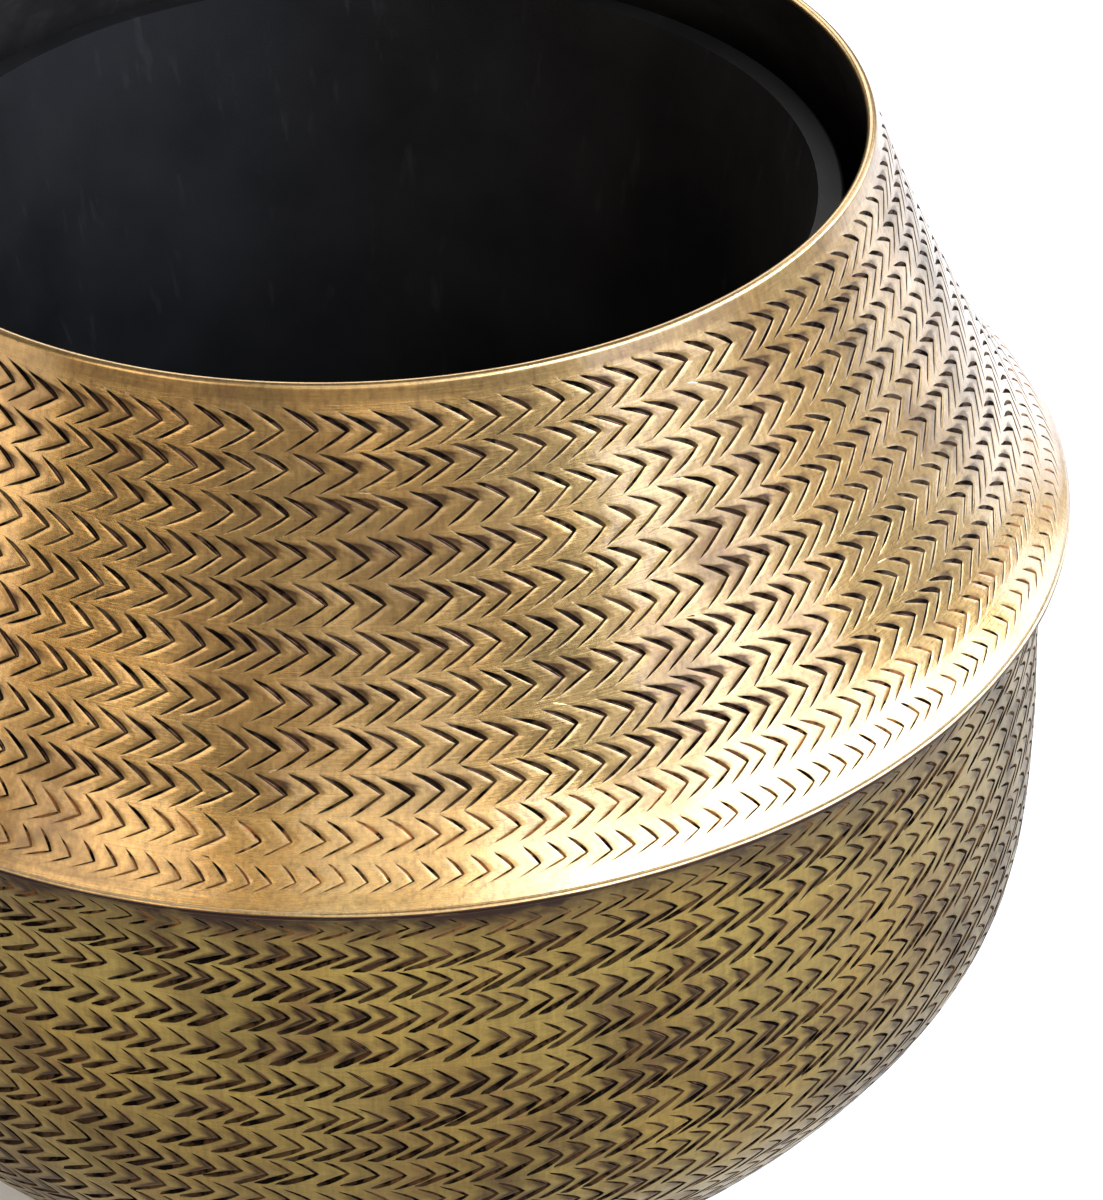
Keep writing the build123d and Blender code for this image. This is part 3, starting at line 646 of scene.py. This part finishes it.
# ---------------------------------------------------------------- materials
class Nodes:
    """Short hand for building a node tree."""

    def __init__(self, name):
        self.mat = bpy.data.materials.new(name)
        self.mat.use_nodes = True
        self.tree = self.mat.node_tree
        self.tree.nodes.clear()

    def new(self, kind, **values):
        n = self.tree.nodes.new(kind)
        for key, v in values.items():
            setattr(n, key, v)
        return n

    def put(self, socket, v):
        if isinstance(v, bpy.types.NodeSocket):
            self.tree.links.new(v, socket)
        elif v is not None:
            socket.default_value = v

    def math(self, op, a, b=None, c=None, clamp=False):
        n = self.new("ShaderNodeMath", operation=op, use_clamp=clamp)
        for s, v in zip(n.inputs, (a, b, c)):
            self.put(s, v)
        return n.outputs[0]

    def attr(self, name):
        n = self.new("ShaderNodeAttribute", attribute_name=name, attribute_type="GEOMETRY")
        return n.outputs["Fac"]

    def scaled(self, vector, scale):
        n = self.new("ShaderNodeVectorMath", operation="MULTIPLY")
        self.put(n.inputs[0], vector)
        self.put(n.inputs[1], scale)
        return n.outputs[0]

    def noise(self, vector, scale, detail=3.0, rough=0.55, distortion=0.0):
        n = self.new("ShaderNodeTexNoise")
        self.put(n.inputs["Vector"], vector)
        n.inputs["Scale"].default_value = scale
        n.inputs["Detail"].default_value = detail
        n.inputs["Roughness"].default_value = rough
        n.inputs["Distortion"].default_value = distortion
        return n.outputs["Fac"]

    def remap(self, v, a, b, c=0.0, d=1.0, smooth=False):
        n = self.new("ShaderNodeMapRange", clamp=True, interpolation_type="SMOOTHSTEP" if smooth else "LINEAR")
        self.put(n.inputs["Value"], v)
        for k, x in (("From Min", a), ("From Max", b), ("To Min", c), ("To Max", d)):
            self.put(n.inputs[k], x)
        return n.outputs["Result"]

    def mix(self, f, a, b, blend="MIX"):
        n = self.new("ShaderNodeMix", data_type="RGBA", blend_type=blend, clamp_factor=True)
        self.put(n.inputs[0], f)
        for s, v in ((n.inputs[6], a), (n.inputs[7], b)):
            self.put(s, (*v, 1.0) if isinstance(v, tuple) and len(v) == 3 else v)
        return n.outputs[2]

    def bump(self, height, strength, distance, normal=None):
        n = self.new("ShaderNodeBump")
        self.put(n.inputs["Strength"], strength)
        n.inputs["Distance"].default_value = distance
        self.put(n.inputs["Height"], height)
        if normal is not None:
            self.put(n.inputs["Normal"], normal)
        return n.outputs[0]

    def turned_coords(self):
        """Object coordinates, their x, y and z, and the distance from the axis, in metres."""
        g = self.new("ShaderNodeTexCoord").outputs["Object"]
        sep = self.new("ShaderNodeSeparateXYZ")
        self.put(sep.inputs[0], g)
        x, y, z = sep.outputs
        r = self.math("SQRT", self.math("ADD", self.math("MULTIPLY", x, x), self.math("MULTIPLY", y, y)))
        return g, x, y, z, r

    def streaks(self, g, r, z, high, thin=60.0, detail=4.0):
        """Fine lines running round the pot: noise that is very stretched along the circumference."""
        sx = self.new("ShaderNodeCombineXYZ")
        n = self.new("ShaderNodeVectorMath", operation="NORMALIZE")
        flat = self.new("ShaderNodeCombineXYZ")
        sep = self.new("ShaderNodeSeparateXYZ")
        self.put(sep.inputs[0], g)
        self.put(flat.inputs[0], sep.outputs[0])
        self.put(flat.inputs[1], sep.outputs[1])
        self.put(n.inputs[0], flat.outputs[0])
        sn = self.new("ShaderNodeSeparateXYZ")
        self.put(sn.inputs[0], n.outputs[0])
        self.put(sx.inputs[0], self.math("MULTIPLY", sn.outputs[0], thin))
        self.put(sx.inputs[1], self.math("MULTIPLY", sn.outputs[1], thin))
        # height plus radius keeps the lines going over the shoulder and the flare
        self.put(sx.inputs[2], self.math("MULTIPLY", self.math("SUBTRACT", z, self.math("MULTIPLY", r, 0.6)), high))
        return self.noise(sx.outputs[0], 1.0, detail, 0.62)

    def surface(self, color, rough, normal=None, metallic=0.0, **more):
        p = self.new("ShaderNodeBsdfPrincipled")
        self.put(p.inputs["Base Color"], (*color, 1.0) if isinstance(color, tuple) and len(color) == 3 else color)
        self.put(p.inputs["Roughness"], rough)
        self.put(p.inputs["Metallic"], metallic)
        if normal is not None:
            self.put(p.inputs["Normal"], normal)
        for k, v in more.items():
            self.put(p.inputs[k.replace("_", " ")], v)
        out = self.new("ShaderNodeOutputMaterial")
        self.tree.links.new(p.outputs[0], out.inputs["Surface"])
        return p


def brass(name, clean, dull, patina, bare, rough, brown, coat, scratch=1.0):
    m = Nodes(name)
    g, x, y, z, r = m.turned_coords()
    groove, halo, worn, vein, copper = (m.attr(k) for k in Shell.MARKS)
    fine = m.streaks(g, r, z, 5200.0, 26.0)
    coarse = m.streaks(g, r, z, 1100.0, 9.0, 3.0)
    cloud = m.noise(g, 9.0, 4.0, 0.55)
    patch = m.noise(g, 34.0, 4.0, 0.6, 0.4)
    speck = m.noise(g, 190.0, 3.0, 0.6)
    grain = m.noise(g, 900.0, 2.0, 0.6)
    # clean metal, a little duller in clouds and along the brush lines
    tone = m.math("ADD", m.remap(cloud, 0.36, 0.66, 0.0, 0.70), m.remap(coarse, 0.35, 0.70, 0.0, 0.35), clamp=True)
    base = m.mix(tone, clean, dull)
    base = m.mix(m.remap(fine, 0.56, 0.78, 0.0, 0.40), base, tuple(min(1.0, c * 1.30) for c in clean))
    base = m.mix(m.remap(fine, 0.46, 0.24, 0.0, 0.55), base, tuple(c * 0.52 for c in dull))
    cross = m.noise(m.scaled(g, (1.0, 1.0, 0.16)), 520.0, 3.0, 0.6)
    base = m.mix(m.remap(cross, 0.52, 0.70, 0.0, 0.5 * scratch), base, tuple(min(1.0, c * 1.25) for c in clean))
    base = m.mix(m.remap(cross, 0.48, 0.32, 0.0, 0.6 * scratch), base, tuple(c * 0.72 for c in dull))
    warm = m.noise(g, 21.0, 3.0, 0.55, 0.3)
    base = m.mix(m.remap(warm, 0.42, 0.66, 0.0, 0.42), base, m.mix(1.0, base, (1.16, 0.97, 0.72), "MULTIPLY"))
    mottle = m.noise(m.scaled(g, (1.0, 1.0, 1.6)), 420.0, 3.0, 0.65)
    base = m.mix(m.remap(mottle, 0.52, 0.74, 0.0, 0.42), base, tuple(0.6 * a + 0.4 * b for a, b in zip(dull, patina)))
    # stains: soft brown smudges in the sheet, away from the marks too
    stain = m.math("MULTIPLY", m.remap(patch, 0.52, 0.72, smooth=True), m.remap(cloud, 0.42, 0.62, 0.1, 0.85))
    base = m.mix(m.math("MULTIPLY", stain, 0.55 * brown), base, tuple(0.45 * a + 0.55 * b for a, b in zip(dull, patina)))
    # copper-coloured tinges where the tool bit
    tinge = m.math("MULTIPLY", m.remap(speck, 0.50, 0.66), m.remap(patch, 0.46, 0.62))
    near = m.math("MULTIPLY", tinge, m.remap(halo, 0.15, 0.7, 0.06, 0.75))
    base = m.mix(near, base, bare)
    # brown patina beside the marks; on the bowl the same halo mark also carries painted shade (the neck, under the
    # flange, towards the foot) and broad dark patches, laid on in the patina colour
    veil = m.math("MULTIPLY", m.math("POWER", halo, 1.15), m.remap(patch, 0.30, 0.60, 0.62, 1.35))
    veil = m.math("ADD", veil, m.math("MULTIPLY", m.remap(speck, 0.35, 0.7, -0.14, 0.14), halo))
    veil = m.math("MULTIPLY", veil, brown, clamp=True)
    base = m.mix(veil, base, patina)
    # high spots rubbed bright
    rub = m.math("MULTIPLY", worn, m.remap(speck, 0.36, 0.60, 0.12, 0.55))
    base = m.mix(rub, base, tuple(min(1.0, c * 1.18) for c in clean))
    # the cut itself: dark with oxide, a thread of metal in its bottom, copper where it is fresh
    black = m.mix(m.remap(patch, 0.35, 0.65), (0.0022, 0.0014, 0.0010), (0.0048, 0.0027, 0.0017))
    thread = m.math("MULTIPLY", m.remap(vein, 0.42, 0.95, smooth=True), m.remap(speck, 0.38, 0.60, 0.12, 1.0), clamp=True)
    black = m.mix(m.math("MULTIPLY", thread, 0.85), black, (0.40, 0.21, 0.13))
    fresh = m.math("MULTIPLY", copper, m.remap(speck, 0.42, 0.56), clamp=True)
    black = m.mix(fresh, black, (0.42, 0.17, 0.045))
    cut = m.math("MULTIPLY", m.remap(groove, 0.04, 0.72, smooth=True), m.remap(speck, 0.30, 0.62, 1.08, 0.86), clamp=True)
    base = m.mix(cut, base, black)
    # small pits and spots of corrosion
    pits = m.new("ShaderNodeTexVoronoi", feature="F1")
    m.put(pits.inputs["Vector"], g)
    pits.inputs["Scale"].default_value = 88.0
    sel = m.new("ShaderNodeSeparateColor")
    m.put(sel.inputs[0], pits.outputs["Color"])
    size = m.remap(sel.outputs[0], 0.62, 1.0, 0.0, 0.075)
    spot = m.math("SUBTRACT", 1.0, m.math("DIVIDE", pits.outputs["Distance"], m.math("ADD", size, 0.004)), clamp=True)
    spot = m.math("MULTIPLY", m.remap(spot, 0.0, 0.5), m.math("GREATER_THAN", sel.outputs[0], 0.64))
    base = m.mix(m.math("MULTIPLY", spot, 0.8), base, tuple(c * 0.35 for c in patina))
    ro = m.math("ADD", rough, m.remap(cloud, 0.3, 0.7, -0.04, 0.05))
    ro = m.math("ADD", ro, m.remap(fine, 0.3, 0.75, 0.07, -0.05))
    ro = m.math("ADD", ro, m.math("MULTIPLY", m.math("ADD", veil, stain), 0.13))
    ro = m.math("ADD", ro, m.math("MULTIPLY", cut, 0.40), clamp=True)
    b1 = m.bump(fine, 0.22 * scratch, 0.00012)
    b2 = m.bump(coarse, 0.16 * scratch, 0.0004, b1)
    b3 = m.bump(grain, 0.10, 0.0002, b2)
    b4 = m.bump(m.math("SUBTRACT", patch, m.math("MULTIPLY", spot, 0.5)), 0.20, 0.0006, b3)
    oxide = m.math("MULTIPLY", cut, m.math("SUBTRACT", 1.0, m.math("MAXIMUM", thread, fresh)), clamp=True)
    metal = m.math("SUBTRACT", 1.0, m.math("MULTIPLY", oxide, 0.97))
    m.surface(base, ro, b4, metal, Specular_IOR_Level=m.math("SUBTRACT", 0.5, m.math("MULTIPLY", oxide, 0.49)),
              Specular_Tint=(1.0, 0.94, 0.82, 1.0),
              Coat_Weight=m.math("MULTIPLY", m.math("MULTIPLY", coat, m.math("SUBTRACT", 1.0, cut, clamp=True)),
                                 m.math("SUBTRACT", 1.0, m.math("MULTIPLY", veil, 0.8), clamp=True)),
              Coat_Roughness=m.math("ADD", 0.17, m.remap(cloud, 0.3, 0.7, -0.03, 0.05)), Coat_IOR=1.66)
    return m.mat


def lacquer(name):
    m = Nodes(name)
    g, x, y, z, r = m.turned_coords()
    cloud = m.noise(g, 22.0, 4.0, 0.6)
    peel = m.noise(g, 260.0, 2.0, 0.5)
    run = m.streaks(g, r, z, 160.0, 40.0, 2.0)
    col = m.mix(m.remap(cloud, 0.35, 0.65), (0.010, 0.0095, 0.009), (0.020, 0.018, 0.016))
    dust = m.math("MULTIPLY", m.remap(cloud, 0.55, 0.75), m.remap(peel, 0.45, 0.62, 0.0, 0.5))
    col = m.mix(dust, col, (0.05, 0.045, 0.04))
    ro = m.math("ADD", m.remap(cloud, 0.3, 0.7, 0.34, 0.50), m.remap(run, 0.3, 0.7, -0.04, 0.05))
    n = m.bump(peel, 0.25, 0.0004)
    n = m.bump(run, 0.15, 0.0006, n)
    m.surface(col, ro, n, 0.0, Specular_IOR_Level=0.4)
    return m.mat


def plastic(name):
    m = Nodes(name)
    g, x, y, z, r = m.turned_coords()
    cloud = m.noise(g, 14.0, 4.0, 0.6)
    grain = m.noise(g, 1500.0, 2.0, 0.5)
    scuffs = m.noise(m.scaled(g, (160.0, 160.0, 20.0)), 1.0, 3.0, 0.6)
    # near-black, darker than black plastic: its own black plus painted shade standing for the shadow deep inside the
    # pot
    col = m.mix(m.remap(cloud, 0.35, 0.68), (0.0030, 0.0029, 0.0028), (0.0064, 0.0060, 0.0056))
    scuff = m.math("MULTIPLY", m.remap(scuffs, 0.62, 0.74), 0.20)
    col = m.mix(scuff, col, (0.030, 0.028, 0.026))
    ro = m.math("ADD", m.remap(cloud, 0.3, 0.7, 0.46, 0.60), m.math("MULTIPLY", scuff, 0.25))
    n = m.bump(grain, 0.22, 0.00025)
    n = m.bump(scuffs, 0.10, 0.0003, n)
    m.surface(col, ro, n, 0.0, Specular_IOR_Level=0.16)
    return m.mat


def steel(name):
    m = Nodes(name)
    g, x, y, z, r = m.turned_coords()
    die = m.streaks(g, r, z, 9000.0, 3.0, 3.0)
    cloud = m.noise(g, 60.0, 4.0, 0.6)
    rust = m.math("MULTIPLY", m.remap(cloud, 0.56, 0.74), 0.7)
    col = m.mix(m.remap(die, 0.3, 0.7), (0.42, 0.41, 0.40), (0.58, 0.57, 0.55))
    col = m.mix(rust, col, (0.16, 0.07, 0.03))
    ro = m.math("ADD", m.remap(die, 0.3, 0.7, 0.24, 0.36), m.math("MULTIPLY", rust, 0.4))
    n = m.bump(die, 0.30, 0.00008)
    m.surface(col, ro, n, m.math("SUBTRACT", 1.0, m.math("MULTIPLY", rust, 0.7)))
    return m.mat


def braze(name):
    m = Nodes(name)
    g, x, y, z, r = m.turned_coords()
    lumps = m.noise(m.scaled(g, (60.0, 60.0, 300.0)), 1.0, 3.0, 0.55, 0.6)
    heat = m.noise(g, 26.0, 4.0, 0.6)
    pits = m.noise(g, 700.0, 2.0, 0.6)
    col = m.mix(m.remap(heat, 0.3, 0.7), (0.46, 0.33, 0.15), (0.30, 0.17, 0.09))
    col = m.mix(m.remap(pits, 0.60, 0.72, 0.0, 0.6), col, (0.06, 0.045, 0.035))
    ro = m.remap(heat, 0.3, 0.7, 0.30, 0.52)
    n = m.bump(lumps, 0.5, 0.0008)
    n = m.bump(pits, 0.25, 0.0002, n)
    m.surface(col, ro, n, 0.9)
    return m.mat


def felt(name):
    m = Nodes(name)
    g, x, y, z, r = m.turned_coords()
    fibre = m.noise(m.scaled(g, (1.0, 1.0, 0.5)), 2600.0, 4.0, 0.7, 1.2)
    tuft = m.noise(g, 420.0, 3.0, 0.6)
    cloud = m.noise(g, 90.0, 3.0, 0.6)
    col = m.mix(m.remap(fibre, 0.35, 0.68), (0.020, 0.017, 0.014), (0.085, 0.072, 0.060))
    col = m.mix(m.remap(cloud, 0.35, 0.7, 0.0, 0.5), col, (0.045, 0.034, 0.026))
    n = m.bump(fibre, 0.7, 0.0006)
    n = m.bump(tuft, 0.5, 0.0010, n)
    m.surface(col, m.remap(tuft, 0.3, 0.7, 0.88, 0.98), n, 0.0, Sheen_Weight=0.25, Specular_IOR_Level=0.15)
    return m.mat


def floor_paper(name):
    m = Nodes(name)
    g = m.new("ShaderNodeTexCoord").outputs["Object"]
    cloud = m.noise(g, 2.0, 2.0, 0.5)
    col = m.mix(m.remap(cloud, 0.3, 0.7), (0.90, 0.90, 0.895), (0.93, 0.93, 0.925))
    m.surface(col, 0.9, None, 0.0, Specular_IOR_Level=0.1)
    return m.mat


# ---------------------------------------------------------------- the pot
collar, collar_prof = build_collar()
bowl, bowl_prof = build_bowl()
collar_brass = brass("collar_brass_worn", (0.50, 0.315, 0.105), (0.335, 0.195, 0.062), (0.044, 0.020, 0.011),
                     (0.42, 0.19, 0.10), 0.27, 1.0, 0.92)
# the bowl's brass: darker and more olive than the collar's; the olive is patina, the darkness partly painted shade for
# the darker floor its walls mirror
bowl_brass = brass("bowl_brass_worn_painted_shade", (0.284, 0.190, 0.041), (0.165, 0.106, 0.026), (0.024, 0.011, 0.007),
                   (0.33, 0.14, 0.08), 0.31, 1.0, 0.12, 0.6)
black = lacquer("inside_lacquer")
for ob, mat in ((collar, collar_brass), (bowl, bowl_brass)):
    ob.data.materials.append(mat)
    ob.data.materials.append(black)
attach(collar, "pot")
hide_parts("collar_shell")
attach(bowl, "pot")
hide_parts("bowl_shell")

liner_plastic = plastic("liner_plastic_painted_shade")
wire_steel = steel("wire_steel_drawn")
braze_alloy = braze("braze_alloy_heat")
pad_felt = felt("pad_felt_fibre")
for name, mat in (("liner", liner_plastic), ("rim_wire", wire_steel), ("shoulder_braze", braze_alloy), ("foot_pads", pad_felt)):
    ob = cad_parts[name]
    for i, s in enumerate(ob.material_slots):
        s.material = mat
    if not ob.material_slots:
        ob.data.materials.append(mat)

# ---------------------------------------------------------------- floor, light and camera
bpy.ops.mesh.primitive_circle_add(vertices=128, radius=3.4, fill_type="NGON", location=(0, 0, 0))
floor = bpy.context.object
floor.name = "floor_sheet"
floor.data.materials.append(floor_paper("floor_paper"))


ROOM = (0.24, 0.24)


def softbox(name, az, el, power, w=1.25, h=1.25, color=(1.0, 0.99, 0.975), dist=2.7):
    """A soft light round the pot: az 0 is the camera's side, 90 the right; el is its height in degrees."""
    a, e = math.radians(az), math.radians(el)
    d = Vector((math.sin(a) * math.cos(e), -math.cos(a) * math.cos(e), math.sin(e)))
    L = bpy.data.lights.new(name, "AREA")
    L.shape = "RECTANGLE"
    L.size, L.size_y = w, h
    L.energy = power
    L.color = color
    ob = bpy.data.objects.new(name, L)
    ob.location = Vector((0, 0, 0.28)) + d * dist
    ob.rotation_euler = (-d).to_track_quat("-Z", "Y").to_euler()
    ob.visible_camera = False
    bpy.context.scene.collection.objects.link(ob)
    return ob


COOL, WARM = (0.86, 0.97, 1.20), (1.0, 0.86, 0.66)
softbox("key_front", 32, 36, 24.0, color=COOL)
softbox("key_right", 62, 33, 42.0, color=COOL)
softbox("key_side", 92, 27, 38.0, color=COOL)
softbox("low_right", 122, 12, 15.0, 1.3, 0.9, color=COOL)
softbox("mid_right", 60, 13, 13.0, 1.7, 0.7, color=(0.84, 0.97, 1.32))
softbox("flare_front", 44, 50, 18.0, 0.70, 0.70, color=COOL)
softbox("flare_side", 90, 38, 22.0, 0.70, 0.70, color=COOL)
softbox("flare_back", 110, 24, 16.0, 0.60, 0.60, color=COOL)
softbox("left_front", -45, 31, 15.5, color=WARM)
softbox("left_low", -76, 8, 8.0, 1.3, 0.8, color=WARM)
softbox("left_back", -135, 32, 14.0)
softbox("front", 0, 29, 9.5, color=(1.0, 0.93, 0.79))
softbox("back", 178, 34, 16.0)
softbox("right_back", 138, 34, 10.0)
softbox("overhead", 0, 62, 9.0, color=(0.93, 1.0, 1.14))

world = bpy.data.worlds.new("pale_room")
world.use_nodes = True
wt = world.node_tree
wt.nodes.clear()
w_dir = wt.nodes.new("ShaderNodeTexCoord")
w_sep = wt.nodes.new("ShaderNodeSeparateXYZ")
wt.links.new(w_dir.outputs["Generated"], w_sep.inputs[0])
w_side = wt.nodes.new("ShaderNodeMapRange")
w_side.interpolation_type = "SMOOTHSTEP"
for i, v in ((1, -0.9), (2, 0.95), (3, ROOM[0]), (4, ROOM[1])):
    w_side.inputs[i].default_value = v
wt.links.new(w_sep.outputs[0], w_side.inputs[0])
w_lit = wt.nodes.new("ShaderNodeBackground")                 # the room, dimmer than the backdrop
w_lit.inputs[0].default_value = (0.985, 0.99, 1.0, 1.0)
wt.links.new(w_side.outputs[0], w_lit.inputs[1])
w_seen = wt.nodes.new("ShaderNodeBackground")                # the plain backdrop
w_seen.inputs[0].default_value = (0.95, 0.955, 0.96, 1.0)
w_path = wt.nodes.new("ShaderNodeLightPath")
w_mix = wt.nodes.new("ShaderNodeMixShader")
wt.links.new(w_path.outputs["Is Camera Ray"], w_mix.inputs[0])
wt.links.new(w_lit.outputs[0], w_mix.inputs[1])
wt.links.new(w_seen.outputs[0], w_mix.inputs[2])
wt.links.new(w_mix.outputs[0], wt.nodes.new("ShaderNodeOutputWorld").inputs[0])
bpy.context.scene.world = world
bpy.context.scene.view_settings.view_transform = "Standard"

pitch, yaw, roll = 0.6209, 0.0598, -0.0158
fw = Vector((math.sin(yaw) * math.cos(pitch), math.cos(yaw) * math.cos(pitch), -math.sin(pitch)))
rt = Vector((math.cos(yaw), -math.sin(yaw), 0.0))
up = rt.cross(fw)
c, s = math.cos(roll), math.sin(roll)
rt2, up2 = c * rt + s * up, -s * rt + c * up
cam_data = bpy.data.cameras.new("camera")
cam_data.sensor_width = 36.0
cam_data.lens = 105.0
cam_data.clip_start = 0.02
cam = bpy.data.objects.new("camera", cam_data)
cam.matrix_world = Matrix(((rt2.x, up2.x, -fw.x, 0.0), (rt2.y, up2.y, -fw.y, -1.0614),
                           (rt2.z, up2.z, -fw.z, 0.9727), (0, 0, 0, 1)))
bpy.context.scene.collection.objects.link(cam)
bpy.context.scene.camera = cam
